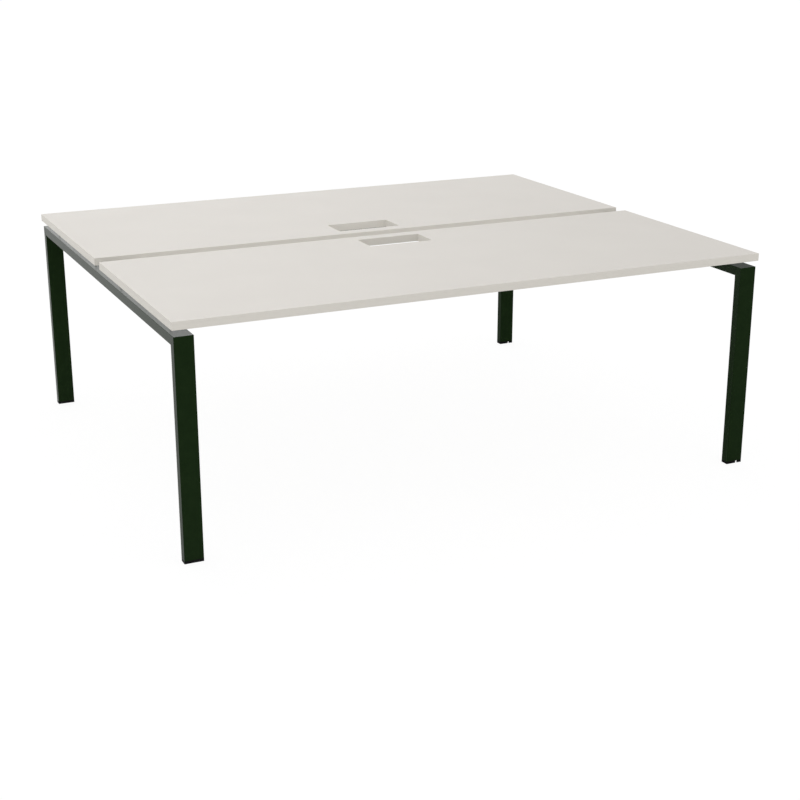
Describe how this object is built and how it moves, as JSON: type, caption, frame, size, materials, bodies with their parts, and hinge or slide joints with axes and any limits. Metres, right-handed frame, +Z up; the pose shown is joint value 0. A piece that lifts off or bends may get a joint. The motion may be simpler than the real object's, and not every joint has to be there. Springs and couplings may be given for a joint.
{
  "type": "benching desk for two",
  "caption": "Back-to-back bench desk: off-white worktops with open cable cut-outs, floating over mitred dark green tube end frames on levelling glides.",
  "frame": {"origin": "on the floor under the middle of the desk", "axes": "+X along the worktops, +Y from the front user to the rear user, +Z up"},
  "size_m": [2, 1.66, 0.735],
  "materials": {
    "melamine_board": "off-white melamine-faced board, fine matt texture",
    "abs_edging": "off-white ABS edging, satin",
    "green_powder_coat": "very dark green powder coat on steel tube, satin",
    "black_nylon": "black moulded nylon, matt",
    "zinc_plated_steel": "bright zinc-plated steel"
  },
  "bodies": {
    "desk": {"front_worktop_board": "melamine_board", "front_cutout_lipping": "abs_edging", "front_worktop_user_edge": "abs_edging", "front_worktop_inner_edge": "abs_edging", "front_worktop_left_edge": "abs_edging", "front_worktop_right_edge": "abs_edging", "rear_worktop_board": "melamine_board", "rear_cutout_lipping": "abs_edging", "rear_worktop_user_edge": "abs_edging", "rear_worktop_inner_edge": "abs_edging", "rear_worktop_left_edge": "abs_edging", "rear_worktop_right_edge": "abs_edging", "left_crossbar": "green_powder_coat", "right_crossbar": "green_powder_coat", "left_front_leg": "green_powder_coat", "left_front_leg_cap": "black_nylon", "left_front_thread_insert": "zinc_plated_steel", "left_front_outer_spacer": "black_nylon", "left_front_inner_spacer": "black_nylon", "left_rear_leg": "green_powder_coat", "left_rear_leg_cap": "black_nylon", "left_rear_thread_insert": "zinc_plated_steel", "left_rear_outer_spacer": "black_nylon", "left_rear_inner_spacer": "black_nylon", "right_front_leg": "green_powder_coat", "right_front_leg_cap": "black_nylon", "right_front_thread_insert": "zinc_plated_steel", "right_front_outer_spacer": "black_nylon", "right_front_inner_spacer": "black_nylon", "right_rear_leg": "green_powder_coat", "right_rear_leg_cap": "black_nylon", "right_rear_thread_insert": "zinc_plated_steel", "right_rear_outer_spacer": "black_nylon", "right_rear_inner_spacer": "black_nylon", "front_outer_rail": "green_powder_coat", "front_outer_rail_left_plate": "green_powder_coat", "front_outer_rail_right_plate": "green_powder_coat", "front_inner_rail": "green_powder_coat", "front_inner_rail_left_plate": "green_powder_coat", "front_inner_rail_right_plate": "green_powder_coat", "rear_outer_rail": "green_powder_coat", "rear_outer_rail_left_plate": "green_powder_coat", "rear_outer_rail_right_plate": "green_powder_coat", "rear_inner_rail": "green_powder_coat", "rear_inner_rail_left_plate": "green_powder_coat", "rear_inner_rail_right_plate": "green_powder_coat"},
    "left_front_glide": {"left_front_glide_pad": "black_nylon"},
    "left_front_stud": {"left_front_levelling_stud": "zinc_plated_steel"},
    "left_rear_glide": {"left_rear_glide_pad": "black_nylon"},
    "left_rear_stud": {"left_rear_levelling_stud": "zinc_plated_steel"},
    "right_front_glide": {"right_front_glide_pad": "black_nylon"},
    "right_front_stud": {"right_front_levelling_stud": "zinc_plated_steel"},
    "right_rear_glide": {"right_rear_glide_pad": "black_nylon"},
    "right_rear_stud": {"right_rear_levelling_stud": "zinc_plated_steel"}
  },
  "joints": [
    {"name": "left_front_glide_travel", "type": "slide", "parent": "desk", "child": "left_front_glide", "axis": [0, 0, -1], "range_m": [0, 0.01]},
    {"name": "left_front_stud_turn", "type": "hinge", "parent": "left_front_glide", "child": "left_front_stud", "pos_m": [-0.965, -0.81, 0.01], "axis": [0, 0, -1], "range_deg": [0, 2880]},
    {"name": "left_rear_glide_travel", "type": "slide", "parent": "desk", "child": "left_rear_glide", "axis": [0, 0, -1], "range_m": [0, 0.01]},
    {"name": "left_rear_stud_turn", "type": "hinge", "parent": "left_rear_glide", "child": "left_rear_stud", "pos_m": [-0.965, 0.81, 0.01], "axis": [0, 0, -1], "range_deg": [0, 2880]},
    {"name": "right_front_glide_travel", "type": "slide", "parent": "desk", "child": "right_front_glide", "axis": [0, 0, -1], "range_m": [0, 0.01]},
    {"name": "right_front_stud_turn", "type": "hinge", "parent": "right_front_glide", "child": "right_front_stud", "pos_m": [0.965, -0.81, 0.01], "axis": [0, 0, -1], "range_deg": [0, 2880]},
    {"name": "right_rear_glide_travel", "type": "slide", "parent": "desk", "child": "right_rear_glide", "axis": [0, 0, -1], "range_m": [0, 0.01]},
    {"name": "right_rear_stud_turn", "type": "hinge", "parent": "right_rear_glide", "child": "right_rear_stud", "pos_m": [0.965, 0.81, 0.01], "axis": [0, 0, -1], "range_deg": [0, 2880]}
  ],
  "couplings": [
    {"joint": "left_front_glide_travel", "follows": "left_front_stud_turn", "m_per_rad": 0.00019894},
    {"joint": "left_rear_glide_travel", "follows": "left_rear_stud_turn", "m_per_rad": 0.00019894},
    {"joint": "right_front_glide_travel", "follows": "right_front_stud_turn", "m_per_rad": 0.00019894},
    {"joint": "right_rear_glide_travel", "follows": "right_rear_stud_turn", "m_per_rad": 0.00019894}
  ]
}
